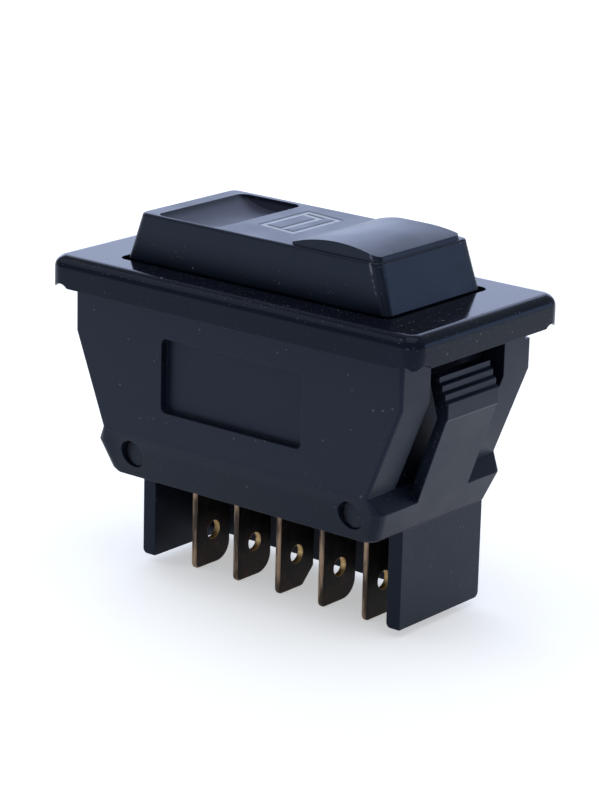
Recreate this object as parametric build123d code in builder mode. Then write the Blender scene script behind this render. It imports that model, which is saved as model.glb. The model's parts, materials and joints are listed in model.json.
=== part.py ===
from build123d import *
import os
from math import cos, radians, sin, tan

# Five-terminal rocker switch for a power window, as a panel-mounted assembly.
# Millimetres, +Z up. X runs along the switch and Y across it. The terminal tips touch
# z = 0 and the rocker is on top. Pressing either end of the rocker swings one of two
# see-saw contact levers over to the feed terminal in the middle.

os.makedirs("parts", exist_ok=True)

# ---- running and assembly clearances -------------------------------------------
run_gap = 0.05            # radial, turning and sliding fits
seat_gap = 0.10           # loose plastic-to-plastic location
contact_gap = 0.03        # closed contacts at rest
cut_past = 1.0            # how far a cutting shape runs past the faces it cuts

# ---- heights that tie the pieces together ---------------------------------------
guard_bottom_z = 1.0      # end guards stop short of the blade tips
rim_z = 12.7              # lower rim of the housing
band_z = 16.5             # widest line of the band at the housing's foot
fold_z = 18.4             # where the straight walls start
shoulder_z = 29.2         # where the drafted ends meet the straight top
skirt_z = 34.4            # lower edge of the bezel's skirt, seats on the panel
bezel_top_z = 38.1
pivot_z = 33.5            # rocker's axis
rocker_top_z = 43.7

# ---- housing --------------------------------------------------------------------
body_length = 47.5
body_width = 24.0
body_wall = 1.9           # long walls
end_draft = 4.25          # the ends lean in by this much above the band
band_inset = 2.75         # the band's widest line, inside the body's ends
rim_end_inset = 4.2
rim_side_inset = 1.55
rim_bevel = 0.45
foot_wall = 1.45          # long walls at the rim
body_edge_r = 0.45        # upright corners
foot_corner_r = 1.3       # corners of the band and the foot
guard_inset = 0.3         # guards' outer faces, inside the rim's ends
guard_wall = 1.9
guard_front_y = -4.9
guard_back_y = 10.2
guard_corner_r = 0.7
guard_edge_r = 0.6        # long lower edge on the -X side
mouth_end_wall = 4.45     # from the body's end to the cavity where the rocker dips in
mouth_z = 31.8            # ledge that stops the rocker
mouth_flare = 0.6
mouth_flare_z = 33.7
corner_relief = 1.1       # back corners only
corner_relief_z = 32.7
panel_length = 20.5       # sunken label panel on the front
panel_shift = -0.2        # towards the -X end
panel_low_z = 22.0
panel_high_z = 30.75
panel_depth = 1.0
panel_corner_r = 0.7

# ---- snap tongues at both ends --------------------------------------------------
pocket_width = 13.7
pocket_depth = 5.15       # beside the lower tongue
pocket_high_depth = 3.25  # behind the grip
pocket_step_z = 30.6
pocket_top_z = 34.7
tongue_width = 9.5
tongue_wall = 1.5
tongue_root = 0.4         # extra thickness where a tongue grows out of the band
tongue_reach = 0.95       # how far the kink stands out of the body's end
tongue_kink_z = 26.8
grip_step = 0.45          # each tooth stands further out than the one above
tooth_height = 0.65
tooth_pitch = 0.93
low_tooth_height = 1.9
tooth_count = 4
grip_proud = 0.22         # the lowest tooth stands this far off the tongue

# ---- bezel frame ----------------------------------------------------------------
bezel_end_overhang = 2.85 # beyond the body's ends
bezel_side_overhang = 1.7
bezel_corner_r = 2.0
bezel_edge_r = 1.45       # rounding along the top edge
bezel_plate = 1.6
skirt_end_wall = 1.5
skirt_rib = 1.2
skirt_rib_inset = 2.0
opening_corner_r = 1.2
arch_r = 1.5              # arches in the skirt's edge, both sides of each corner
arch_rise = 0.45
arch_inset = 1.9

# ---- terminal base --------------------------------------------------------------
base_lift = 0.2           # underside above the housing's rim
base_plate = 3.2
base_rail = 1.6
base_rail_top_z = 18.2
base_edge_r = 0.3
shield_wall = 1.9         # wall behind the blades
stud_r = 1.6
stud_hole_gap = 0.07
stud_inset = 3.5          # from the rim's ends
stud_shift = 0.65         # both studs sit off centre towards +X
stud_z = 15.7
stud_recess = 0.8

# ---- terminals ------------------------------------------------------------------
blade_pitch = 6.4
blade_width = 6.3
blade_thick = 0.8
blade_hole_r = 1.1
blade_hole_z = 4.3
blade_back_r = 2.3        # rounded back corner of a blade's tip
feed_back_cut = 2.1       # straight cut on the feed blade's back corner
blade_front_r = 0.75
blade_tip_cut = 0.2       # thinned tip
head_thick = 0.8
end_head_reach = 2.4
feed_head_half = 2.9
horn_wall = 0.6           # side horns that keep a lever in place
horn_rise = 1.3

# ---- contacts and levers --------------------------------------------------------
fulcrum_z = 18.6
lever_width = 5.0
lever_thick = 0.7
lever_lift = 0.1          # underside above the fulcrum's axis
lever_corner_r = 0.6
lever_rest_deg = 5.0      # outer end down
lever_outer = 6.7
lever_inner = 5.6
outer_contact = 5.8       # from the fulcrum to each contact
inner_contact = 4.7
rivet_r = 1.1
rivet_height = 0.7
rivet_bevel = 0.2

# ---- rocker ---------------------------------------------------------------------
rocker_end_gap = 0.3      # between the cap's foot and the cavity's ends
rocker_side_gap = 1.45    # between the cap's foot and the long walls
rocker_end_draft = 1.85
rocker_side_draft = 0.25
rocker_wall = 1.6
rocker_crown = 2.6
rocker_edge_r = 1.0
rocker_top_edge_r = 0.3
rocker_skirt_inset = 0.2
rocker_skirt_z = 34.5
opening_end_gap = 0.65    # between the cap and the bezel
opening_side_gap = 0.7
scoop_x = -10.5
scoop_length = 9.2
scoop_depth = 1.4
scoop_corner_r = 1.2
hump_x = 11.2             # highest line of the raised end
hump_half = 7.05
hump_rise = 1.35
hump_corner_r = 1.6
front_strip = 0.4         # flat strip along the front edges of scoop and hump
back_strip = 1.0
hump_back_r = 1.5         # rounding along the hump's back edge
hump_setback = 0.15       # from the cap's end
trunnion_r = 1.6
trunnion_root = 0.5
trunnion_bite = 0.9       # depth of the bearing in the long wall
lug_width = 7.0
lug_wall = 1.7
lug_drop = 2.6
ear_gap = 0.3             # between the cap's foot and the bearing ears
ear_width = 6.6
ear_height = 5.8
ear_drop = 0.6
spine_wall = 1.2

# ---- window symbol on the rocker ------------------------------------------------
symbol_x = -0.93          # middle of the outline
symbol_y = 0.88
symbol_length = 9.2
symbol_height = 5.85
symbol_lean = -0.77       # sideways lean over the symbol's height
symbol_line = 0.95        # width of the V-shaped grooves
symbol_depth = 0.14
glass_x = -0.55           # line for the edge of the glass
glass_length = 6.7
glass_lean = 0.5          # of its return to the outline

# ---- plungers and springs -------------------------------------------------------
plunger_offset = 0.9      # outside its lever's fulcrum
plunger_r = 1.6
plunger_tip_r = 1.2
plunger_top_z = 26.2
tip_gap = 0.2
stem_wall = 0.8
stem_bottom_z = 22.5
spring_top_z = 34.2
spring_r = 1.15
spring_wire_r = 0.2
spring_turns = 6

# ---- values that follow ---------------------------------------------------------
bezel_under_z = bezel_top_z - bezel_plate
bezel_length = body_length + 2 * bezel_end_overhang
bezel_width = body_width + 2 * bezel_side_overhang
band_length = body_length - 2 * band_inset
fold_length = body_length - 2 * end_draft
rim_length = body_length - 2 * rim_end_inset
rim_width = body_width - 2 * rim_side_inset
foot_cavity_width = rim_width - 2 * foot_wall
cavity_width = body_width - 2 * body_wall
guard_outer_x = rim_length / 2 - guard_inset
cavity_half = guard_outer_x - guard_wall
mouth_half = body_length / 2 - mouth_end_wall
tongue_kink_x = body_length / 2 + tongue_reach
base_low_z = rim_z + base_lift
base_top_z = base_low_z + base_plate
base_length = 2 * (cavity_half - seat_gap)
base_width = foot_cavity_width - 2 * seat_gap
stud_places = [stud_shift + end * (rim_length / 2 - stud_inset) for end in (-1, 1)]
lever_pivot_x = blade_pitch
rocker_length = 2 * (mouth_half - rocker_end_gap)
rocker_width = cavity_width - 2 * rocker_side_gap
rocker_top_length = rocker_length - 2 * rocker_end_draft
rocker_top_width = rocker_width - 2 * rocker_side_draft
form_width = rocker_top_width - front_strip - back_strip
form_y = (front_strip - back_strip) / 2
opening_length = rocker_length + 2 * opening_end_gap
opening_width = rocker_width + 2 * opening_side_gap
plunger_x = lever_pivot_x + plunger_offset
plunger_bore_r = plunger_r + run_gap
stem_r = plunger_bore_r + stem_wall


def wall_y_at(z):
    """Half width of the housing on its drafted foot."""
    share = (z - rim_z) / (fold_z - rim_z)
    return rim_width / 2 + share * (body_width - rim_width) / 2


def closed_contact_z(reach):
    """Lowest point of a lever contact when that end of the lever is down."""
    tilt = radians(lever_rest_deg)
    crown_far = reach + rivet_r - rivet_bevel
    return fulcrum_z - crown_far * sin(tilt) - (rivet_height - lever_lift) * cos(tilt)


# ---- bezel frame ----------------------------------------------------------------
with BuildPart() as bezel_frame:
    with BuildSketch(Plane.XY.offset(skirt_z)):
        RectangleRounded(bezel_length, bezel_width, bezel_corner_r)
    extrude(amount=bezel_top_z - skirt_z)
    fillet(bezel_frame.faces().sort_by(Axis.Z)[-1].edges(), bezel_edge_r)
    with BuildSketch(Plane.XY.offset(skirt_z)):
        Rectangle(bezel_length - 2 * skirt_end_wall, body_width + 2 * run_gap)
    extrude(amount=bezel_under_z - skirt_z, mode=Mode.SUBTRACT)
    with BuildSketch(Plane.XY.offset(bezel_under_z)):
        RectangleRounded(opening_length, opening_width, opening_corner_r)
    extrude(amount=bezel_plate, mode=Mode.SUBTRACT)
    # end ribs that hold the frame on the housing lengthways
    rib_reach = bezel_end_overhang - skirt_end_wall - run_gap
    rib_x = body_length / 2 + run_gap + rib_reach / 2
    rib_y = body_width / 2 - skirt_rib_inset
    with Locations(*[(end * rib_x, side * rib_y, (skirt_z + bezel_under_z) / 2)
                     for end in (-1, 1) for side in (-1, 1)]):
        Box(rib_reach, skirt_rib, bezel_under_z - skirt_z)
    # arches in the skirt's lower edge, on both sides of each corner
    arch_z = skirt_z + arch_rise - arch_r
    for x in (-bezel_length / 2, bezel_length / 2):
        for y in (-bezel_width / 2, bezel_width / 2):
            x_in = x - arch_inset if x > 0 else x + arch_inset
            y_in = y - arch_inset if y > 0 else y + arch_inset
            with Locations(Location((x_in, y, arch_z), (90, 0, 0)),
                           Location((x, y_in, arch_z), (0, 90, 0))):
                Cylinder(arch_r, 2 * bezel_side_overhang, mode=Mode.SUBTRACT)


# ---- housing --------------------------------------------------------------------
def housing_shell():
    """Outer block: straight top, drafted ends, ledge, band and drafted foot."""
    rim_lean = (band_length - rim_length) / (band_z - rim_z)
    levels = [(rim_z, rim_length - 2 * rim_bevel, foot_corner_r),
              (rim_z + rim_bevel, rim_length + rim_lean * rim_bevel, foot_corner_r),
              (band_z, band_length, foot_corner_r),
              (fold_z, fold_length, body_edge_r),
              (shoulder_z, body_length, body_edge_r),
              (bezel_under_z, body_length, body_edge_r)]
    with BuildPart() as shell:
        for z, length, corner_r in levels:
            with BuildSketch(Plane.XY.offset(z)):
                RectangleRounded(length, 2 * min(wall_y_at(z), body_width / 2), corner_r)
        loft(ruled=True)
    return shell.part


def tongue_profile():
    """Side view of a snap tongue: leaning blade with a stepped grip at its top."""
    lean = (tongue_kink_x - band_length / 2) / (tongue_kink_z - band_z)
    outer = [(band_length / 2, band_z), (tongue_kink_x - grip_proud, tongue_kink_z - grip_proud),
             (tongue_kink_x, tongue_kink_z)]
    z = tongue_kink_z + low_tooth_height
    x = tongue_kink_x
    for _ in range(1, tooth_count):
        outer += [(x, z), (x - grip_step, z + tooth_pitch - tooth_height)]
        x -= grip_step
        z += tooth_pitch
    outer += [(x, z)]
    root_x = band_length / 2 + lean * (fold_z - band_z) - tongue_wall
    inner = [(x - tongue_wall, z), (tongue_kink_x - tongue_wall, tongue_kink_z),
             (root_x, fold_z), (root_x - tongue_root, band_z)]
    return outer + inner


def end_guard(end):
    """Plate that runs down beside the blades, with rounded lower corners."""
    low, high = guard_bottom_z, rim_z + cut_past
    with BuildPart() as guard:
        with Locations((end * (guard_outer_x - guard_wall / 2),
                        (guard_front_y + guard_back_y) / 2, (low + high) / 2)):
            Box(guard_wall, guard_back_y - guard_front_y, high - low)
        fillet(guard.edges().filter_by(Axis.X).group_by(Axis.Z)[0].sort_by(Axis.Y)[-1],
               guard_corner_r)
        fillet(guard.edges().filter_by(Axis.Y).group_by(Axis.Z)[0].sort_by(Axis.X)[0],
               guard_edge_r)
    return guard.part


with BuildPart() as housing:
    add(housing_shell())
    # cavity, open at the bottom for the terminal base and at the top for the rocker
    cavity = [(cavity_half, rim_z), (cavity_half, mouth_z), (mouth_half, mouth_z),
              (mouth_half, mouth_flare_z), (mouth_half + mouth_flare, mouth_flare_z),
              (mouth_half + mouth_flare, bezel_under_z)]
    with BuildSketch(Plane.XZ):
        with BuildLine():
            Polyline(*(cavity + [(-x, z) for x, z in reversed(cavity)]), close=True)
        make_face()
    extrude(amount=foot_cavity_width / 2, both=True, mode=Mode.SUBTRACT)
    with Locations((0, 0, (fold_z + bezel_under_z) / 2)):
        Box(2 * cavity_half, cavity_width, bezel_under_z - fold_z, mode=Mode.SUBTRACT)
    # pockets that leave the tongues free to bend inwards
    deep_x = body_length / 2 - pocket_depth
    high_x = body_length / 2 - pocket_high_depth
    clear_x = body_length / 2 + cut_past
    pocket = [(deep_x, fold_z), (deep_x, pocket_step_z), (high_x, pocket_step_z),
              (high_x, pocket_top_z), (clear_x, pocket_top_z), (clear_x, fold_z)]
    for end in (-1, 1):
        with BuildSketch(Plane.XZ):
            with BuildLine():
                Polyline(*[(end * x, z) for x, z in pocket], close=True)
            make_face()
        extrude(amount=pocket_width / 2, both=True, mode=Mode.SUBTRACT)
        with BuildSketch(Plane.XZ):
            with BuildLine():
                Polyline(*[(end * x, z) for x, z in tongue_profile()], close=True)
            make_face()
        extrude(amount=tongue_width / 2, both=True)
    # guards below the ends
    for end in (-1, 1):
        add(end_guard(end))
    # sunken label panel on the front
    panel_face = Plane(origin=(panel_shift, -body_width / 2, (panel_low_z + panel_high_z) / 2),
                       x_dir=(1, 0, 0), z_dir=(0, -1, 0))
    with BuildSketch(panel_face):
        RectangleRounded(panel_length, panel_high_z - panel_low_z, panel_corner_r)
    extrude(amount=-panel_depth, mode=Mode.SUBTRACT)
    # holes for the base's snap studs
    for x in stud_places:
        with Locations(Location((x, 0, stud_z), (90, 0, 0))):
            Cylinder(stud_r + stud_hole_gap, body_width + cut_past, mode=Mode.SUBTRACT)
    # bearing ears for the rocker's trunnions
    ear_in = rocker_width / 2 + ear_gap
    ear_depth = cavity_width / 2 - ear_in
    for side in (-1, 1):
        with Locations((0, side * (ear_in + ear_depth / 2), pivot_z - ear_drop)):
            Box(ear_width, ear_depth, ear_height)
        with Locations(Location((0, side * ear_in, pivot_z), (side * 90, 0, 0))):
            Cylinder(trunnion_r + run_gap, ear_depth + trunnion_bite, mode=Mode.SUBTRACT,
                     align=(Align.CENTER, Align.CENTER, Align.MAX))
    # back corners cut away under the bezel
    for end in (-1, 1):
        with Locations((end * body_length / 2, body_width / 2,
                        (corner_relief_z + bezel_under_z) / 2)):
            Box(2 * corner_relief, 2 * corner_relief, bezel_under_z - corner_relief_z,
                mode=Mode.SUBTRACT)


# ---- terminal base --------------------------------------------------------------
def blade_x(number):
    """Centre of a terminal, counted 1 to 5 from the -X end."""
    return (number - 3) * blade_pitch


with BuildPart() as terminal_base:
    with Locations((0, 0, base_low_z + base_plate / 2)):
        Box(base_length, base_width, base_plate)
    for side in (-1, 1):
        with Locations((0, side * (base_width - base_rail) / 2,
                        (base_low_z + base_rail_top_z) / 2)):
            Box(base_length, base_rail, base_rail_top_z - base_low_z)
        for x in stud_places:
            stud_end = wall_y_at(stud_z) - stud_recess
            stud_from = base_width / 2 - base_rail
            with Locations(Location((x, side * (stud_end + stud_from) / 2, stud_z),
                                    (90, 0, 0))):
                Cylinder(stud_r, stud_end - stud_from)
    with Locations((0, base_width / 2 - shield_wall / 2, (guard_bottom_z + base_low_z) / 2)):
        Box(base_length, shield_wall, base_low_z - guard_bottom_z)
    fillet(terminal_base.edges().filter_by(Axis.X).group_by(Axis.Z)[0], base_edge_r)
    with Locations(*[(blade_x(n), 0, base_low_z + base_plate / 2) for n in range(1, 6)]):
        Box(blade_thick + 2 * run_gap, blade_width + 2 * run_gap, base_plate + cut_past,
            mode=Mode.SUBTRACT)


# ---- terminals ------------------------------------------------------------------
def blade(number, top_z):
    """Flat blade with a rounded tip and a hole; the feed blade's back corner is cut straight."""
    half = blade_width / 2
    with BuildPart() as piece:
        with BuildSketch(Plane.YZ.offset(blade_x(number))):
            with BuildLine():
                Polyline((half, top_z), (-half, top_z), (-half, blade_front_r))
                RadiusArc((-half, blade_front_r), (blade_front_r - half, 0), -blade_front_r)
                if number == 3:
                    Polyline((blade_front_r - half, 0), (half - feed_back_cut, 0),
                             (half, feed_back_cut), (half, top_z))
                else:
                    Line((blade_front_r - half, 0), (half - blade_back_r, 0))
                    RadiusArc((half - blade_back_r, 0), (half, blade_back_r), -blade_back_r)
                    Line((half, blade_back_r), (half, top_z))
            make_face()
        extrude(amount=blade_thick / 2, both=True)
        chamfer(piece.edges().group_by(Axis.Z)[0].filter_by(Axis.Y), blade_tip_cut)
        with Locations(Location((blade_x(number), 0, blade_hole_z), (0, 90, 0))):
            Cylinder(blade_hole_r, 2 * blade_thick, mode=Mode.SUBTRACT)
    return piece.part


def end_terminal(number, inward):
    """Outer terminal: its head folds inwards over the base as a contact shelf."""
    with BuildPart() as piece:
        add(blade(number, base_top_z + head_thick))
        start = blade_x(number) - inward * blade_thick / 2
        with Locations((start + inward * end_head_reach / 2, 0, base_top_z + head_thick / 2)):
            Box(end_head_reach, blade_width, head_thick)
    return piece.part


def pivot_terminal(number):
    """Motor terminal: rises to a rounded fulcrum between two side horns."""
    with BuildPart() as piece:
        add(blade(number, fulcrum_z))
        with Locations(Location((blade_x(number), 0, fulcrum_z), (90, 0, 0))):
            Cylinder(blade_thick / 2, lever_width + 2 * run_gap)
        for side in (-1, 1):
            horn_y = side * (lever_width / 2 + run_gap + horn_wall / 2)
            with Locations((blade_x(number), horn_y, (base_top_z + fulcrum_z + horn_rise) / 2)):
                Box(blade_thick, horn_wall, fulcrum_z + horn_rise - base_top_z)
    return piece.part


with BuildPart() as terminal_3:
    add(blade(3, base_top_z + head_thick))
    with Locations((0, 0, base_top_z + head_thick / 2)):
        Box(2 * feed_head_half, blade_width, head_thick)

with BuildPart() as terminal_1:
    add(end_terminal(1, 1))
with BuildPart() as terminal_2:
    add(pivot_terminal(2))
with BuildPart() as terminal_4:
    add(pivot_terminal(4))
with BuildPart() as terminal_5:
    add(end_terminal(5, -1))


# ---- contact rivets -------------------------------------------------------------
def rivet(x, low_z, high_z):
    """Round contact with a slightly smaller crown face."""
    with BuildPart() as piece:
        with Locations((x, 0, (low_z + high_z) / 2)):
            Cylinder(rivet_r, high_z - low_z)
        chamfer(piece.edges().group_by(Axis.Z)[-1], rivet_bevel)
    return piece.part


fixed_low_z = base_top_z + head_thick
fixed_outer_z = closed_contact_z(outer_contact) - contact_gap
fixed_inner_z = closed_contact_z(inner_contact) - contact_gap
outer_contact_x = lever_pivot_x + outer_contact
inner_contact_x = lever_pivot_x - inner_contact

with BuildPart() as fixed_contact_1:
    add(rivet(-outer_contact_x, fixed_low_z, fixed_outer_z))
with BuildPart() as fixed_contact_3a:
    add(rivet(-inner_contact_x, fixed_low_z, fixed_inner_z))
with BuildPart() as fixed_contact_3b:
    add(rivet(inner_contact_x, fixed_low_z, fixed_inner_z))
with BuildPart() as fixed_contact_5:
    add(rivet(outer_contact_x, fixed_low_z, fixed_outer_z))


# ---- contact levers -------------------------------------------------------------
def rest_pose(part, end):
    """Tilt a level piece about its fulcrum so that the outer end is down."""
    axis = Axis((end * lever_pivot_x, 0, fulcrum_z), (0, 1, 0))
    return part.rotate(axis, end * lever_rest_deg)


def lever_plate(end):
    """See-saw strip with a groove under it that sits on the fulcrum."""
    low = fulcrum_z + lever_lift
    with BuildPart() as piece:
        centre = end * (lever_pivot_x + (lever_outer - lever_inner) / 2)
        with Locations((centre, 0, low + lever_thick / 2)):
            Box(lever_outer + lever_inner, lever_width, lever_thick)
        fillet(piece.edges().filter_by(Axis.Z), lever_corner_r)
        with Locations(Location((end * lever_pivot_x, 0, fulcrum_z), (90, 0, 0))):
            Cylinder(blade_thick / 2 + run_gap, lever_width + cut_past, mode=Mode.SUBTRACT)
    return rest_pose(piece.part, end)


def lever_contact(end, reach):
    """Contact rivet under one end of a lever; reach is positive outwards."""
    high = fulcrum_z + lever_lift
    with BuildPart() as piece:
        with Locations((end * (lever_pivot_x + reach), 0, high - rivet_height / 2)):
            Cylinder(rivet_r, rivet_height)
        chamfer(piece.edges().group_by(Axis.Z)[0], rivet_bevel)
    return rest_pose(piece.part, end)


with BuildPart() as contact_lever_left:
    add(lever_plate(-1))
with BuildPart() as contact_lever_right:
    add(lever_plate(1))
with BuildPart() as lever_contact_left_outer:
    add(lever_contact(-1, outer_contact))
with BuildPart() as lever_contact_left_inner:
    add(lever_contact(-1, -inner_contact))
with BuildPart() as lever_contact_right_outer:
    add(lever_contact(1, outer_contact))
with BuildPart() as lever_contact_right_inner:
    add(lever_contact(1, -inner_contact))


# ---- rocker ---------------------------------------------------------------------
def cap_block():
    """Drafted cap above the bezel with its straight skirt below."""
    with BuildPart() as cap:
        with BuildSketch(Plane.XY.offset(bezel_top_z)):
            RectangleRounded(rocker_length, rocker_width, rocker_edge_r)
        with BuildSketch(Plane.XY.offset(rocker_top_z)):
            RectangleRounded(rocker_top_length, rocker_top_width, rocker_edge_r)
        loft(ruled=True)
        with BuildSketch(Plane.XY.offset(rocker_skirt_z)):
            RectangleRounded(rocker_length - 2 * rocker_skirt_inset,
                             rocker_width - 2 * rocker_skirt_inset, rocker_edge_r)
        extrude(amount=bezel_top_z - rocker_skirt_z)
        fillet(cap.faces().sort_by(Axis.Z)[-1].edges(), rocker_top_edge_r)
    return cap.part


def scoop_cutter():
    """Round-bottomed hollow in the left half of the cap."""
    radius = (scoop_length ** 2 / 4 + scoop_depth ** 2) / (2 * scoop_depth)
    with BuildPart() as cutter:
        with BuildSketch(Plane.XY.offset(rocker_top_z - scoop_depth)):
            with Locations((scoop_x, form_y)):
                RectangleRounded(scoop_length, form_width, scoop_corner_r)
        extrude(amount=2 * scoop_depth)
        with Locations(Location((scoop_x, 0, rocker_top_z - scoop_depth + radius),
                                (90, 0, 0))):
            Cylinder(radius, rocker_width, mode=Mode.INTERSECT)
    return cutter.part


def hump_plan(z):
    """Outline of the raised end at one height; its end follows the cap's drafted end."""
    end_slope = rocker_end_draft / (rocker_top_z - bezel_top_z)
    start_x = hump_x - hump_half
    end_x = rocker_top_length / 2 - hump_setback - (z - rocker_top_z) * end_slope
    with BuildSketch(Plane.XY.offset(z)) as plan:
        with Locations(((start_x + end_x) / 2, form_y)):
            Rectangle(end_x - start_x, form_width)
        fillet(plan.vertices().group_by(Axis.X)[0], hump_corner_r)
        fillet(plan.vertices().group_by(Axis.X)[-1], rocker_edge_r)
    return plan.sketch


def hump():
    """Raised round back on the right half of the cap."""
    radius = (hump_half ** 2 + hump_rise ** 2) / (2 * hump_rise)
    with BuildPart() as raised:
        add(hump_plan(rocker_top_z - rocker_top_edge_r))
        add(hump_plan(rocker_top_z + 2 * hump_rise))
        loft(ruled=True)
        with Locations(Location((hump_x, 0, rocker_top_z + hump_rise - radius), (90, 0, 0))):
            Cylinder(radius, rocker_width, mode=Mode.INTERSECT)
        # rounded shoulder along the back
        with BuildSketch(Plane.YZ) as end_view:
            with Locations((form_y, rocker_top_z)):
                Rectangle(form_width, 2 * hump_rise)
            fillet(end_view.vertices().group_by(Axis.Y)[-1].sort_by(Axis.X)[-1:], hump_back_r)
        extrude(amount=rocker_length, both=True, mode=Mode.INTERSECT)
    return raised.part


def leaning_frame(inset):
    """Corner points of the leaning window outline, moved in by inset."""
    half_x = symbol_height / 2 - inset
    half_y = symbol_length / 2 - inset
    lean = symbol_lean * half_x / symbol_height
    return [(symbol_x - half_x, symbol_y - half_y - lean),
            (symbol_x + half_x, symbol_y - half_y + lean),
            (symbol_x + half_x, symbol_y + half_y + lean),
            (symbol_x - half_x, symbol_y + half_y - lean)]


def symbol_lines():
    """Outline of a car window with a line for the edge of its glass, to be engraved."""
    outline = leaning_frame(symbol_line / 2)
    low_corner, high_corner = outline[0], outline[-1]
    glass_end_y = low_corner[1] + glass_length
    glass_line = [(glass_x, low_corner[1]), (glass_x, glass_end_y),
                  (high_corner[0], glass_end_y + glass_lean)]
    groove = [(-symbol_line / 2, 0), (symbol_line / 2, 0), (0, -symbol_depth)]
    with BuildPart() as lines:
        for corners in (outline + [low_corner], glass_line):
            with BuildLine() as path:
                Polyline(*[(x, y, rocker_top_z) for x, y in corners])
            along = path.line % 0
            across = (-along.Y, along.X)
            with BuildSketch(Plane(origin=path.line @ 0, x_dir=across, z_dir=along)):
                Polygon(*groove, align=None)
            sweep(path=path.line, transition=Transition.RIGHT)
    return lines.part


with BuildPart() as rocker:
    add(cap_block())
    add(hump())
    add(scoop_cutter(), mode=Mode.SUBTRACT)
    add(symbol_lines(), mode=Mode.SUBTRACT)
    # hollow underside
    hollow_top_z = rocker_top_z - rocker_crown
    hollow_inset = 2 * (rocker_wall + rocker_skirt_inset)
    with BuildSketch(Plane.XY.offset(rocker_skirt_z)):
        Rectangle(rocker_length - hollow_inset, rocker_width - hollow_inset)
    with BuildSketch(Plane.XY.offset(hollow_top_z)):
        Rectangle(rocker_top_length - hollow_inset, rocker_top_width - hollow_inset)
    loft(mode=Mode.SUBTRACT)
    # guide stems for the plungers, joined by a spine under the cap
    stem_top_z = hollow_top_z + rocker_crown / 4
    with Locations((-plunger_x, 0, stem_bottom_z), (plunger_x, 0, stem_bottom_z)):
        Cylinder(stem_r, stem_top_z - stem_bottom_z,
                 align=(Align.CENTER, Align.CENTER, Align.MIN))
    with Locations((0, 0, rocker_skirt_z)):
        Box(2 * plunger_x, spine_wall, stem_top_z - rocker_skirt_z,
            align=(Align.CENTER, Align.CENTER, Align.MIN))
    with Locations((-plunger_x, 0, stem_bottom_z), (plunger_x, 0, stem_bottom_z)):
        Cylinder(plunger_bore_r, spring_top_z - stem_bottom_z, mode=Mode.SUBTRACT,
                 align=(Align.CENTER, Align.CENTER, Align.MIN))
    # side lugs and trunnions
    side_y = rocker_width / 2 - rocker_skirt_inset
    lug_low_z = pivot_z - lug_drop
    pin_length = cavity_width / 2 - seat_gap + trunnion_root - side_y
    for side in (-1, 1):
        with Locations((0, side * (side_y - lug_wall / 2), lug_low_z)):
            Box(lug_width, lug_wall, hollow_top_z - lug_low_z,
                align=(Align.CENTER, Align.CENTER, Align.MIN))
        with Locations(Location((0, side * (side_y - trunnion_root), pivot_z),
                                (side * 90, 0, 0))):
            Cylinder(trunnion_r, pin_length, align=(Align.CENTER, Align.CENTER, Align.MAX))


# ---- plungers and springs inside the stems --------------------------------------
lever_top_at_plunger = (fulcrum_z + (lever_lift + lever_thick) / cos(radians(lever_rest_deg))
                        - (plunger_x - lever_pivot_x) * tan(radians(lever_rest_deg)))
tip_z = lever_top_at_plunger + tip_gap


def plunger(x):
    """Pin with a domed tip; the spring sits on its flat top."""
    with BuildPart() as piece:
        with Locations((x, 0, (tip_z + plunger_top_z) / 2)):
            Cylinder(plunger_r, plunger_top_z - tip_z)
        fillet(piece.edges().group_by(Axis.Z)[0], plunger_tip_r)
    return piece.part


def coil(x):
    """Compression spring between the plunger and the top of its stem."""
    low = plunger_top_z + spring_wire_r
    height = spring_top_z - spring_wire_r - low
    with BuildPart() as piece:
        with BuildLine():
            path = Helix(pitch=height / spring_turns, height=height, radius=spring_r,
                         center=(x, 0, low))
        with BuildSketch(Plane(origin=path @ 0, z_dir=path % 0)):
            Circle(spring_wire_r)
        sweep()
    return piece.part


with BuildPart() as plunger_left:
    add(plunger(-plunger_x))
with BuildPart() as plunger_right:
    add(plunger(plunger_x))
with BuildPart() as plunger_spring_left:
    add(coil(-plunger_x))
with BuildPart() as plunger_spring_right:
    add(coil(plunger_x))


# ---- labels and files -----------------------------------------------------------
bezel_frame.part.label = "bezel_frame"
export_step(bezel_frame.part, "parts/bezel_frame.step")
housing.part.label = "housing"
export_step(housing.part, "parts/housing.step")
terminal_base.part.label = "terminal_base"
export_step(terminal_base.part, "parts/terminal_base.step")
rocker.part.label = "rocker"
export_step(rocker.part, "parts/rocker.step")
plunger_left.part.label = "plunger_left"
export_step(plunger_left.part, "parts/plunger_left.step")
plunger_right.part.label = "plunger_right"
export_step(plunger_right.part, "parts/plunger_right.step")
plunger_spring_left.part.label = "plunger_spring_left"
export_step(plunger_spring_left.part, "parts/plunger_spring_left.step")
plunger_spring_right.part.label = "plunger_spring_right"
export_step(plunger_spring_right.part, "parts/plunger_spring_right.step")
contact_lever_left.part.label = "contact_lever_left"
export_step(contact_lever_left.part, "parts/contact_lever_left.step")
contact_lever_right.part.label = "contact_lever_right"
export_step(contact_lever_right.part, "parts/contact_lever_right.step")
lever_contact_left_outer.part.label = "lever_contact_left_outer"
export_step(lever_contact_left_outer.part, "parts/lever_contact_left_outer.step")
lever_contact_left_inner.part.label = "lever_contact_left_inner"
export_step(lever_contact_left_inner.part, "parts/lever_contact_left_inner.step")
lever_contact_right_outer.part.label = "lever_contact_right_outer"
export_step(lever_contact_right_outer.part, "parts/lever_contact_right_outer.step")
lever_contact_right_inner.part.label = "lever_contact_right_inner"
export_step(lever_contact_right_inner.part, "parts/lever_contact_right_inner.step")
terminal_1.part.label = "terminal_1"
export_step(terminal_1.part, "parts/terminal_1.step")
terminal_2.part.label = "terminal_2"
export_step(terminal_2.part, "parts/terminal_2.step")
terminal_3.part.label = "terminal_3"
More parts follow.
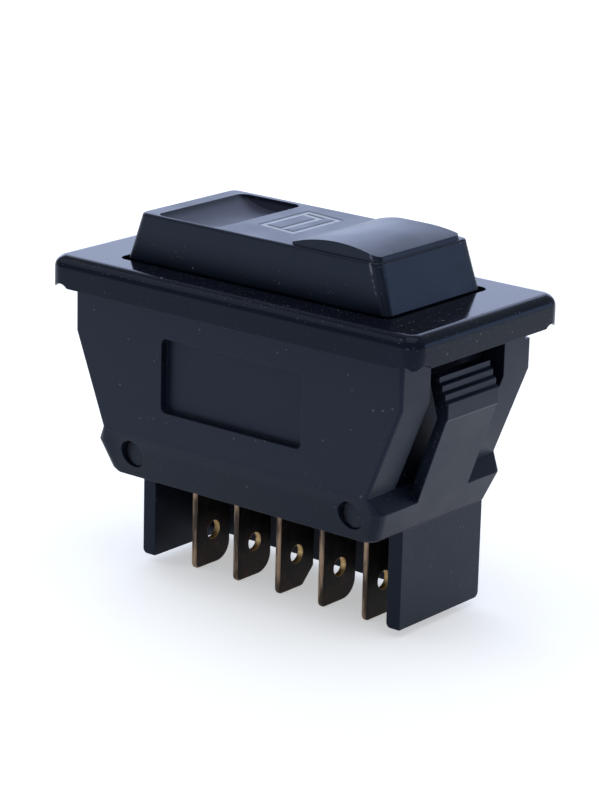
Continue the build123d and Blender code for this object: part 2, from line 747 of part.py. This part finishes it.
export_step(terminal_3.part, "parts/terminal_3.step")
terminal_4.part.label = "terminal_4"
export_step(terminal_4.part, "parts/terminal_4.step")
terminal_5.part.label = "terminal_5"
export_step(terminal_5.part, "parts/terminal_5.step")
fixed_contact_1.part.label = "fixed_contact_1"
export_step(fixed_contact_1.part, "parts/fixed_contact_1.step")
fixed_contact_3a.part.label = "fixed_contact_3a"
export_step(fixed_contact_3a.part, "parts/fixed_contact_3a.step")
fixed_contact_3b.part.label = "fixed_contact_3b"
export_step(fixed_contact_3b.part, "parts/fixed_contact_3b.step")
fixed_contact_5.part.label = "fixed_contact_5"
export_step(fixed_contact_5.part, "parts/fixed_contact_5.step")
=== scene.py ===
"""Power window switch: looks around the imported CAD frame. Metres, +Z up."""
import json
import math

import bpy
from mathutils import Matrix, Vector


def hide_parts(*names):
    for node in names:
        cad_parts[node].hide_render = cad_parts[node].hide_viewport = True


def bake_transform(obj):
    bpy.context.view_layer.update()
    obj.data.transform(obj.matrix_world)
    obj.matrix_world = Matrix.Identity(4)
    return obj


MM = 0.001

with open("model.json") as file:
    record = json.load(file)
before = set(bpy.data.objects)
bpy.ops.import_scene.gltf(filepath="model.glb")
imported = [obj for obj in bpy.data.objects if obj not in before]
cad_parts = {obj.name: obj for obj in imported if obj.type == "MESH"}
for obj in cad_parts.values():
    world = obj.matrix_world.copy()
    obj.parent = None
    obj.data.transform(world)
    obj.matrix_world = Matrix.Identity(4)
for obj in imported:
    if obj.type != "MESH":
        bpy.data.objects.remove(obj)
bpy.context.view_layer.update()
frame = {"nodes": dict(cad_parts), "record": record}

# ---- camera and stage -----------------------------------------------------------
CAMERA_AZIMUTH = 38.6                   # degrees, from the front towards +X
CAMERA_ELEVATION = 16.8
CAMERA_ROLL = math.radians(1.45)
CAMERA_LENS = 136.1
CAMERA_CLIP = (0.01, 20)
CAMERA_DISTANCE = 354.4 * MM
CAMERA_TARGET = Vector((-3.7, 4.9, 21.15)) * MM

FLOOR_SIZE = 16.0                       # wide enough for a low view to miss its edge
FLOOR_COLOR = (0.81, 0.82, 0.84, 1)
FLOOR_GLOW = 0.45                       # only for camera, mirror and glass rays
ROOM_COLOR = (0.84, 0.91, 1.0, 1)
ROOM_STRENGTH = 0.45
LAMP_DISTANCE = 0.9                     # metres, for lights placed by an angle

# ---- plastic: waves are per metre ------------------------------------------------
BLACK = (0.0038, 0.0050, 0.0100)
BASE_BLACK = (0.010, 0.010, 0.012)
IVORY = (0.72, 0.70, 0.62)
SHEEN_TINT = (0.52, 0.68, 1.0, 1)
GRAIN_WAVES = 9000
GRAIN_HEIGHT = 0.02 * MM
SHEEN_WAVES = 160
SCUFF_WAVES = 260
SPECKS = (1500, 0.22)                   # cells per metre, radius in cells
FINE_SPECKS = (4200, 0.28)
SPECK_COLOR = (0.20, 0.20, 0.21, 1)

# ---- painted light and highlights on the rocker ---------------------------------
CAP_TOP_Z = 43.7 * MM
# painted light: a lighter, rougher patch that lifts the shade deep in the finger hollow
HOLLOW_LIGHT_COLOR = (0.046, 0.048, 0.074, 1)
HOLLOW_LIGHT_ROUGHNESS = 0.12
HOLLOW_LIGHT_Z = (42.9 * MM, 43.55 * MM)        # full low in the hollow, none at its rim
HOLLOW_LIGHT_END_X = (-6.0 * MM, -5.4 * MM)     # the hollow's end towards the symbol
HOLLOW_LIGHT_REACH_X = (15.5 * MM, 16.4 * MM)
HOLLOW_LIGHT_REACH_Y = (7.2 * MM, 8.1 * MM)
# painted highlight: pale colour on the floors of the symbol's grooves, for their bright lines
SYMBOL_HIGHLIGHT_COLOR = (0.46, 0.50, 0.58, 1)
GROOVE_Z = (43.61 * MM, 43.67 * MM)
SYMBOL_REACH_X = (4.6 * MM, 4.8 * MM)
# painted highlight: a pale mottled line down the upright corner of the rocker's raised end
CORNER_HIGHLIGHT_COLOR = (0.20, 0.21, 0.24, 1)
CORNER_HIGHLIGHT_GRAIN_WAVES = 2200
CORNER_HIGHLIGHT_WIDTH = (0.05 * MM, 0.20 * MM)
CORNER_HIGHLIGHT_Z = (39.6 * MM, 41.8 * MM)
CORNER_HIGHLIGHT_X = 16.1 * MM                     # of the upright corner, at the cap's top
CAP_END_LEAN = 1.85 / 5.6               # how much the cap's end runs out per height

# ---- metals: waves are per metre -------------------------------------------------
STEEL = (0.55, 0.55, 0.56)
COPPER = (0.72, 0.43, 0.26)
SILVER = (0.86, 0.86, 0.84)
CLOUD_WAVES = 700
LINE_WAVES = 2600
LINE_HEIGHT = 0.01 * MM
BLOTCH_WAVES = 420
STREAK_WAVES = 900
STREAK_HEIGHT = 0.02 * MM
RUST_WAVES = 700
TARNISH_DARK = (0.008, 0.007, 0.0065, 1)
TARNISH_LIGHT = (0.026, 0.019, 0.016, 1)
RUST_COLOR = (0.055, 0.025, 0.018, 1)
CUT_EDGE_DULL = (0.050, 0.038, 0.030, 1)
CUT_EDGE_CLEAN = (0.30, 0.21, 0.145, 1)
BRASS_COLOR = (0.62, 0.43, 0.20, 1)
HOLE_RADIUS = 1.1 * MM
HOLE_Z = 4.3 * MM
HOLE_RIM = (HOLE_RADIUS + 0.03 * MM, HOLE_RADIUS + 0.08 * MM)

# ---- edge rounding of the moulded and stamped pieces ----------------------------
EDGE_ROUND = {
    "housing": 0.10 * MM,
    "bezel_frame": 0.08 * MM,
    "terminal_base": 0.08 * MM,
    **{f"terminal_{number}": 0.06 * MM for number in range(1, 6)},
}
ROCKER_EDGE_ROUND = 0.14 * MM           # in the shading only
EDGE_ANGLE = math.radians(32)
CREASE_ANGLE = math.radians(14)
WELD_GAP = 0.0005 * MM
FLAT_ANGLE = math.radians(0.4)


# ---- helpers --------------------------------------------------------------------
class Shader:
    """A node tree for one material, built with short calls."""

    def __init__(self, name):
        self.material = bpy.data.materials.new(name)
        self.material.use_nodes = True
        self.tree = self.material.node_tree
        self.surface = self.tree.nodes["Principled BSDF"]
        self.coords = self.add("ShaderNodeTexCoord").outputs["Object"]
        self.normal = self.add("ShaderNodeNewGeometry").outputs["Normal"]

    def add(self, kind, **settings):
        node = self.tree.nodes.new(kind)
        for key, value in settings.items():
            setattr(node, key, value)
        return node

    def link(self, value, socket):
        """Join an output to a socket, or set the socket's own value."""
        if isinstance(value, bpy.types.NodeSocket):
            self.tree.links.new(value, socket)
        else:
            socket.default_value = value

    def math(self, operation, a, b=0.0, c=0.0, clamp=False):
        node = self.add("ShaderNodeMath", operation=operation, use_clamp=clamp)
        for socket, value in zip(node.inputs, (a, b, c)):
            self.link(value, socket)
        return node.outputs[0]

    def noise(self, scale, detail=3.0, roughness=0.5, stretch=None):
        """Noise over the object: scale in waves per metre, times stretch on each axis."""
        node = self.add("ShaderNodeTexNoise")
        node.inputs["Scale"].default_value = scale
        node.inputs["Detail"].default_value = detail
        node.inputs["Roughness"].default_value = roughness
        vector = self.coords
        if stretch:
            mapping = self.add("ShaderNodeMapping")
            mapping.inputs["Scale"].default_value = stretch
            self.link(vector, mapping.inputs["Vector"])
            vector = mapping.outputs[0]
        self.link(vector, node.inputs["Vector"])
        return node.outputs[0]

    def span(self, value, low, high, to_low=0.0, to_high=1.0):
        """Map a value from one range to another, held at both ends."""
        node = self.add("ShaderNodeMapRange", interpolation_type="SMOOTHSTEP")
        for key, number in (("From Min", low), ("From Max", high),
                            ("To Min", to_low), ("To Max", to_high)):
            node.inputs[key].default_value = number
        self.link(value, node.inputs["Value"])
        return node.outputs[0]

    def specks(self, scale, size, share):
        """Mask of small round specks: cells per metre, radius and share of cells."""
        node = self.add("ShaderNodeTexVoronoi")
        node.inputs["Scale"].default_value = scale
        self.link(self.coords, node.inputs["Vector"])
        split = self.add("ShaderNodeSeparateColor")
        self.link(node.outputs["Color"], split.inputs[0])
        radius = self.math("MULTIPLY", split.outputs[0], size)
        inside = self.math("LESS_THAN", node.outputs["Distance"], radius)
        chosen = self.math("LESS_THAN", split.outputs[1], share)
        return self.product(inside, chosen)

    def mix(self, share, a, b):
        node = self.add("ShaderNodeMix", data_type="RGBA")
        self.link(share, node.inputs["Factor"])
        self.link(a, node.inputs["A"])
        self.link(b, node.inputs["B"])
        return node.outputs["Result"]

    def bump(self, height, strength, distance, below=None):
        node = self.add("ShaderNodeBump")
        node.inputs["Strength"].default_value = strength
        node.inputs["Distance"].default_value = distance
        self.link(height, node.inputs["Height"])
        if below is not None:
            self.link(below, node.inputs["Normal"])
        return node.outputs[0]

    def soft_edges(self, radius):
        """Normal rounded at the edges, for pieces that keep their exact mesh."""
        node = self.add("ShaderNodeBevel", samples=6)
        node.inputs["Radius"].default_value = radius
        return node.outputs[0]

    def along(self, vector, axis):
        """One axis of a vector: 0, 1 or 2."""
        split = self.add("ShaderNodeSeparateXYZ")
        self.link(vector, split.inputs[0])
        return split.outputs[axis]

    def place(self, axis):
        """Coordinate along one axis of the object."""
        return self.along(self.coords, axis)

    def reach(self, axis):
        """Distance from the object's middle plane across an axis."""
        return self.math("ABSOLUTE", self.place(axis))

    def facing(self, axis):
        """How far the surface faces along an axis, from 0 to 1, either way."""
        return self.math("ABSOLUTE", self.along(self.normal, axis))

    def fade(self, value, low, high):
        """Full up to low, gone from high."""
        return self.span(value, low, high, 1.0, 0.0)

    def product(self, first, *others):
        """Masks multiplied together."""
        for mask in others:
            first = self.math("MULTIPLY", first, mask)
        return first

    def set(self, **values):
        """Set or link the surface's inputs, named with _ for each space."""
        for key, value in values.items():
            self.link(value, self.surface.inputs[key.replace("_", " ")])


def scaled(base, share):
    """A colour made lighter or darker, with full alpha."""
    return (*(share * channel for channel in base), 1)


def moulded_plastic(name, base, rough, grain, dust, level, low_shade=None, soft=0.0):
    """Dark moulded plastic: fine grain, uneven sheen, scuffs and a little dust.

    grain: strength of the fine grain; dust: share of cells with a speck.
    level: specular level; low_shade: painted shade, two heights between which the long sides'
    level rises from a share, its third value, to full.
    soft: radius of the edges' shading; the piece then gets painted light in its hollow and
    painted highlights as well.
    """
    shader = Shader(name)
    grains = shader.noise(GRAIN_WAVES, detail=2.0)
    waves = shader.noise(SHEEN_WAVES, detail=2.0)
    scuffs = shader.noise(SCUFF_WAVES, 4.0, 0.65, stretch=(0.25, 1, 4))
    scuffs = shader.span(scuffs, 0.60, 0.72)
    specks = shader.specks(*SPECKS, dust)
    fine = shader.specks(*FINE_SPECKS, dust * 2.5)
    flecks = shader.math("MAXIMUM", specks, fine)
    sheen = shader.span(waves, 0.3, 0.7, rough - 0.03, rough + 0.04)
    sheen = shader.math("MULTIPLY_ADD", scuffs, 0.05, sheen)
    sheen = shader.math("MULTIPLY_ADD", flecks, 0.4, sheen, clamp=True)
    tone = shader.mix(shader.span(waves, 0.25, 0.75), (*base, 1), scaled(base, 1.35))
    tone = shader.mix(shader.math("MULTIPLY", flecks, 0.5), tone, SPECK_COLOR)
    below = None
    if soft:
        tone, sheen = paint_rocker_light(shader, tone, sheen)
        below = shader.soft_edges(soft)
    shader.set(Base_Color=tone, Roughness=sheen,
               Normal=shader.bump(grains, grain, GRAIN_HEIGHT, below))
    # painted shade: the long sides reflect less towards the bottom
    if low_shade:
        low, high, share = low_shade
        low_shade_mask = shader.product(shader.fade(shader.place(2), low, high), shader.facing(1))
        level = shader.math("MULTIPLY_ADD", low_shade_mask, (share - 1) * level, level)
    shader.set(Specular_IOR_Level=level, Specular_Tint=SHEEN_TINT)
    return shader.material


def paint_rocker_light(shader, tone, sheen):
    """Painted light in the finger hollow, painted highlights in the symbol's grooves and up
    the raised end's corner.
    """
    # painted light: lightens and roughens the finger hollow where it falls in shade
    hollow_light = shader.product(shader.fade(shader.place(2), *HOLLOW_LIGHT_Z),
                          shader.fade(shader.place(0), *HOLLOW_LIGHT_END_X),
                          shader.fade(shader.reach(0), *HOLLOW_LIGHT_REACH_X),
                          shader.fade(shader.reach(1), *HOLLOW_LIGHT_REACH_Y))
    tone = shader.mix(hollow_light, tone, HOLLOW_LIGHT_COLOR)
    sheen = shader.math("MULTIPLY_ADD", hollow_light, HOLLOW_LIGHT_ROUGHNESS, sheen)
    # painted highlight on the floors of the symbol's grooves
    groove_highlight = shader.product(shader.fade(shader.place(2), *GROOVE_Z),
                           shader.fade(shader.reach(0), *SYMBOL_REACH_X),
                           shader.span(shader.facing(2), 0.90, 0.94))
    tone = shader.mix(groove_highlight, tone, SYMBOL_HIGHLIGHT_COLOR)
    # painted highlight down the upright corner of the raised end
    leaned = shader.math("MULTIPLY_ADD", shader.place(2), CAP_END_LEAN, shader.place(0))
    off = shader.math("SUBTRACT", leaned, CORNER_HIGHLIGHT_X + CAP_TOP_Z * CAP_END_LEAN)
    corner_highlight = shader.product(shader.fade(shader.math("ABSOLUTE", off), *CORNER_HIGHLIGHT_WIDTH),
                           shader.span(shader.place(2), *CORNER_HIGHLIGHT_Z),
                           shader.facing(1),
                           shader.span(shader.noise(CORNER_HIGHLIGHT_GRAIN_WAVES, 3.0, 0.7), 0.40, 0.60))
    tone = shader.mix(shader.math("MULTIPLY", corner_highlight, 0.8), tone, CORNER_HIGHLIGHT_COLOR)
    return tone, sheen


def tarnished_brass(name):
    """Stamped brass blade: dark brown faces, dull cut edges, clean metal in the hole."""
    shader = Shader(name)
    blotch = shader.noise(BLOTCH_WAVES, 4.0, 0.6)
    streaks = shader.noise(STREAK_WAVES, 3.0, 0.6, stretch=(1, 1, 0.15))
    rust = shader.span(shader.noise(RUST_WAVES, 3.0, 0.7), 0.55, 0.70)
    tarnish = shader.mix(shader.span(blotch, 0.35, 0.65), TARNISH_DARK, TARNISH_LIGHT)
    tarnish = shader.mix(shader.math("MULTIPLY", rust, 0.6), tarnish, RUST_COLOR)
    edge = shader.mix(shader.span(streaks, 0.42, 0.62), CUT_EDGE_DULL, CUT_EDGE_CLEAN)
    tone = shader.mix(shader.span(shader.facing(0), 0.6, 0.95), edge, tarnish)
    height = shader.math("SUBTRACT", shader.place(2), HOLE_Z)
    away = shader.math("SQRT", shader.math("ADD", shader.math("POWER", shader.place(1), 2.0),
                                           shader.math("POWER", height, 2.0)))
    tone = shader.mix(shader.fade(away, *HOLE_RIM), tone, BRASS_COLOR)
    shader.set(Base_Color=tone, Roughness=shader.span(blotch, 0.3, 0.7, 0.34, 0.52),
               Normal=shader.bump(streaks, 0.15, STREAK_HEIGHT), Metallic=0.85)
    return shader.material


def worn_metal(name, base, rough):
    """Plain metal with fine drawing lines and a slightly uneven polish."""
    shader = Shader(name)
    cloud = shader.noise(CLOUD_WAVES, 3.0, 0.6)
    lines = shader.noise(LINE_WAVES, 2.0, 0.5, stretch=(0.1, 1, 1))
    tone = shader.mix(shader.span(cloud, 0.35, 0.7), (*base, 1), scaled(base, 0.75))
    shader.set(Base_Color=tone, Roughness=shader.span(cloud, 0.3, 0.7, rough, rough + 0.12),
               Normal=shader.bump(lines, 0.12, LINE_HEIGHT), Metallic=1.0)
    return shader.material


def smooth_group(name, sharpest):
    """Geometry nodes: mark a shell smooth apart from edges sharper than an angle."""
    group = bpy.data.node_groups.new(name, "GeometryNodeTree")
    group.interface.new_socket("Geometry", in_out="INPUT", socket_type="NodeSocketGeometry")
    group.interface.new_socket("Geometry", in_out="OUTPUT", socket_type="NodeSocketGeometry")
    nodes, links = group.nodes, group.links
    start = nodes.new("NodeGroupInput")
    end = nodes.new("NodeGroupOutput")
    drop = nodes.new("GeometryNodeRemoveAttribute")
    drop.inputs["Name"].default_value = "custom_normal"
    angle = nodes.new("GeometryNodeInputMeshEdgeAngle")
    small = nodes.new("FunctionNodeCompare")
    small.operation = "LESS_THAN"
    small.inputs[1].default_value = sharpest
    faces = nodes.new("GeometryNodeSetShadeSmooth")
    edges = nodes.new("GeometryNodeSetShadeSmooth")
    edges.domain = "EDGE"
    links.new(start.outputs[0], drop.inputs["Geometry"])
    links.new(drop.outputs[0], faces.inputs["Geometry"])
    links.new(faces.outputs[0], edges.inputs["Geometry"])
    links.new(angle.outputs[0], small.inputs[0])
    links.new(small.outputs[0], edges.inputs["Shade Smooth"])
    links.new(edges.outputs[0], end.inputs[0])
    return group


SMOOTH = smooth_group("smooth_by_angle", EDGE_ANGLE)
CREASED = smooth_group("smooth_by_crease", CREASE_ANGLE)


def smooth_shell(piece, group):
    """Join a CAD piece's faces and shade them smooth up to the group's angle."""
    weld = piece.modifiers.new("weld", "WELD")
    weld.merge_threshold = WELD_GAP
    smooth = piece.modifiers.new("smooth", "NODES")
    smooth.node_group = group


def keep_flats_flat(piece):
    """Let the large faces set the normals that they share with small ones."""
    weighted = piece.modifiers.new("weighted_normals", "WEIGHTED_NORMAL")
    weighted.mode = "FACE_AREA"
    weighted.weight = 50
    weighted.keep_sharp = True


def round_edges(piece, width):
    """Break the sharp edges of a CAD piece by a small bevel."""
    smooth_shell(piece, SMOOTH)
    flat = piece.modifiers.new("flat_faces", "DECIMATE")
    flat.decimate_type = "DISSOLVE"
    flat.angle_limit = FLAT_ANGLE
    bevel = piece.modifiers.new("edge_bevel", "BEVEL")
    bevel.width = width
    bevel.segments = 2
    bevel.limit_method = "ANGLE"
    bevel.angle_limit = EDGE_ANGLE
    bevel.use_clamp_overlap = False
    bevel.miter_outer = "MITER_SHARP"
    smooth = piece.modifiers.new("smooth_bevel", "NODES")
    smooth.node_group = SMOOTH
    keep_flats_flat(piece)


def softbox(name, place, aim_z, size, radiance, color):
    """Area light aimed at the upright axis, as bright in reflections as its radiance."""
    lamp = bpy.data.lights.new(name, "AREA")
    lamp.shape = "RECTANGLE"
    lamp.size, lamp.size_y = size
    lamp.energy = radiance * math.pi * size[0] * size[1]
    lamp.color = color
    holder = bpy.data.objects.new(name, lamp)
    bpy.context.scene.collection.objects.link(holder)
    holder.location = place
    toward = Vector((0, 0, aim_z)) - Vector(place)
    holder.rotation_euler = toward.to_track_quat("-Z", "Y").to_euler()
    holder.visible_camera = False


def heading(azimuth, elevation):
    """Unit vector from the object towards a viewer at these angles, in degrees."""
    a, e = math.radians(azimuth), math.radians(elevation)
    return Vector((math.sin(a) * math.cos(e), -math.cos(a) * math.cos(e), math.sin(e)))


# ---- stage ----------------------------------------------------------------------
def add_camera():
    """Camera at the photograph's angle, tilted a little about its own axis."""
    toward = heading(CAMERA_AZIMUTH, CAMERA_ELEVATION)
    right = heading(CAMERA_AZIMUTH + 90, 0)
    up = toward.cross(right)
    right_rolled = right * math.cos(CAMERA_ROLL) + up * math.sin(CAMERA_ROLL)
    up_rolled = up * math.cos(CAMERA_ROLL) - right * math.sin(CAMERA_ROLL)
    camera = bpy.data.objects.new("camera", bpy.data.cameras.new("camera"))
    camera.data.lens = CAMERA_LENS
    camera.data.clip_start, camera.data.clip_end = CAMERA_CLIP
    turn = Matrix((right_rolled, up_rolled, toward)).transposed().to_4x4()
    camera.matrix_world = Matrix.Translation(CAMERA_TARGET + toward * CAMERA_DISTANCE) @ turn
    bpy.context.scene.collection.objects.link(camera)
    bpy.context.scene.camera = camera


def background_light(tree, lit, plain):
    """Switch from lit to plain where a camera, mirror or glass ray meets the surface."""
    path = tree.nodes.new("ShaderNodeLightPath")
    white = tree.nodes.new("ShaderNodeMath")
    white.operation = "MAXIMUM"
    either = tree.nodes.new("ShaderNodeMath")
    either.operation = "MAXIMUM"
    tree.links.new(path.outputs["Is Camera Ray"], white.inputs[0])
    tree.links.new(path.outputs["Is Glossy Ray"], white.inputs[1])
    tree.links.new(white.outputs[0], either.inputs[0])
    tree.links.new(path.outputs["Is Transmission Ray"], either.inputs[1])
    mixer = tree.nodes.new("ShaderNodeMixShader")
    tree.links.new(either.outputs[0], mixer.inputs[0])
    tree.links.new(lit, mixer.inputs[1])
    tree.links.new(plain, mixer.inputs[2])
    return mixer.outputs[0]


def add_floor():
    """Plain pale floor that keeps the shadow and is close to white for the camera."""
    half = FLOOR_SIZE / 2
    mesh = bpy.data.meshes.new("floor")
    mesh.from_pydata([(-half, -half, 0), (half, -half, 0), (half, half, 0), (-half, half, 0)],
                     [], [(0, 1, 2, 3)])
    floor = bpy.data.objects.new("floor", mesh)
    bpy.context.scene.collection.objects.link(floor)
    material = bpy.data.materials.new("floor")
    material.use_nodes = True
    tree = material.node_tree
    tree.nodes.clear()
    matte = tree.nodes.new("ShaderNodeBsdfDiffuse")
    matte.inputs["Color"].default_value = FLOOR_COLOR
    glow = tree.nodes.new("ShaderNodeEmission")
    glow.inputs["Strength"].default_value = FLOOR_GLOW
    sum_node = tree.nodes.new("ShaderNodeAddShader")
    tree.links.new(matte.outputs[0], sum_node.inputs[0])
    tree.links.new(glow.outputs[0], sum_node.inputs[1])
    output = tree.nodes.new("ShaderNodeOutputMaterial")
    tree.links.new(background_light(tree, matte.outputs[0], sum_node.outputs[0]),
                   output.inputs["Surface"])
    mesh.materials.append(material)


def add_world():
    """Even, slightly cool studio light from all round."""
    world = bpy.data.worlds.new("studio")
    bpy.context.scene.world = world
    world.use_nodes = True
    tree = world.node_tree
    room = tree.nodes["Background"]
    room.inputs["Color"].default_value = ROOM_COLOR
    room.inputs["Strength"].default_value = ROOM_STRENGTH


add_camera()
add_floor()
add_world()

# broad cool panel low behind the left end, mirrored by every flat top
softbox("panel_back", (-0.42, 0.50, 0.26), 0.04, (0.90, 0.46), 1.95, (0.58, 0.68, 1.0))
# smaller, paler panel further left
softbox("panel_left", (-0.62, 0.30, 0.20), 0.04, (0.24, 0.30), 1.9, (0.72, 0.82, 1.0))
# cool panel low behind the right end, for the drafted end faces
softbox("panel_right", (0.50, 0.52, 0.12), 0.03, (0.36, 0.20), 1.5, (0.42, 0.62, 1.0))
# large soft light overhead
softbox("top_light", (0.05, -0.10, 0.9), 0.02, (0.8, 0.8), 1.4, (1.0, 0.99, 0.97))
# soft light from the front left, for the rounded edges
softbox("front_light", heading(-60, 42) * LAMP_DISTANCE, 0.04, (0.5, 0.4), 0.8,
        (0.92, 0.96, 1.0))
# two small lights at the front for the highlights on upright corners
softbox("edge_light", heading(4, 3) * LAMP_DISTANCE, 0.04, (0.12, 0.12), 6.0,
        (0.9, 0.95, 1.0))
softbox("corner_light", heading(51, 12) * LAMP_DISTANCE, 0.04, (0.04, 0.22), 8.0,
        (0.95, 0.98, 1.0))


# ---- materials on the CAD pieces -------------------------------------------------
MATERIALS = {
    # painted shade: the housing's long sides reflect less low down
    "housing": moulded_plastic("housing", BLACK, rough=0.40, grain=0.10, dust=0.04, level=0.31,
                               low_shade=(16.0 * MM, 19.5 * MM, 0.60)),
    "bezel": moulded_plastic("bezel", BLACK, rough=0.12, grain=0.02, dust=0.12, level=0.17),
    # painted shade: the rocker's long sides reflect less towards its bottom; it also gets
    # painted light and highlights
    "rocker": moulded_plastic("rocker", BLACK, rough=0.34, grain=0.08, dust=0.02, level=0.33,
                              low_shade=(37.6 * MM, 42.0 * MM, 0.30), soft=ROCKER_EDGE_ROUND),
    "base": moulded_plastic("base", BASE_BLACK, rough=0.46, grain=0.12, dust=0.04, level=0.30),
    "plunger": moulded_plastic("plunger", IVORY, rough=0.38, grain=0.05, dust=0.0, level=0.50),
    "spring": worn_metal("spring", STEEL, rough=0.28),
    "lever": worn_metal("lever", COPPER, rough=0.30),
    "contact": worn_metal("contact", SILVER, rough=0.22),
    "blade": tarnished_brass("blade"),
}
for part in frame["record"]["subparts"]:
    node = frame["nodes"][part["node"]]
    node.material_slots[0].material = MATERIALS[part["material_slot"]]
    if part["node"] in EDGE_ROUND:
        round_edges(node, EDGE_ROUND[part["node"]])
    elif part["node"] == "rocker":
        smooth_shell(node, CREASED)
        keep_flats_flat(node)

# each plunger's spring is shown by an unchanged copy of its CAD coil, baked in place, with the
# spring material
for side in ("left", "right"):
    coil = frame["nodes"][f"plunger_spring_{side}"]
    spring = bpy.data.objects.new(f"coil_spring_{side}", coil.data.copy())
    bpy.context.scene.collection.objects.link(spring)
    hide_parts(coil.name)
    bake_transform(spring)
    spring.data.materials.clear()
    spring.data.materials.append(MATERIALS["spring"])

bpy.context.scene.view_settings.view_transform = "Standard"
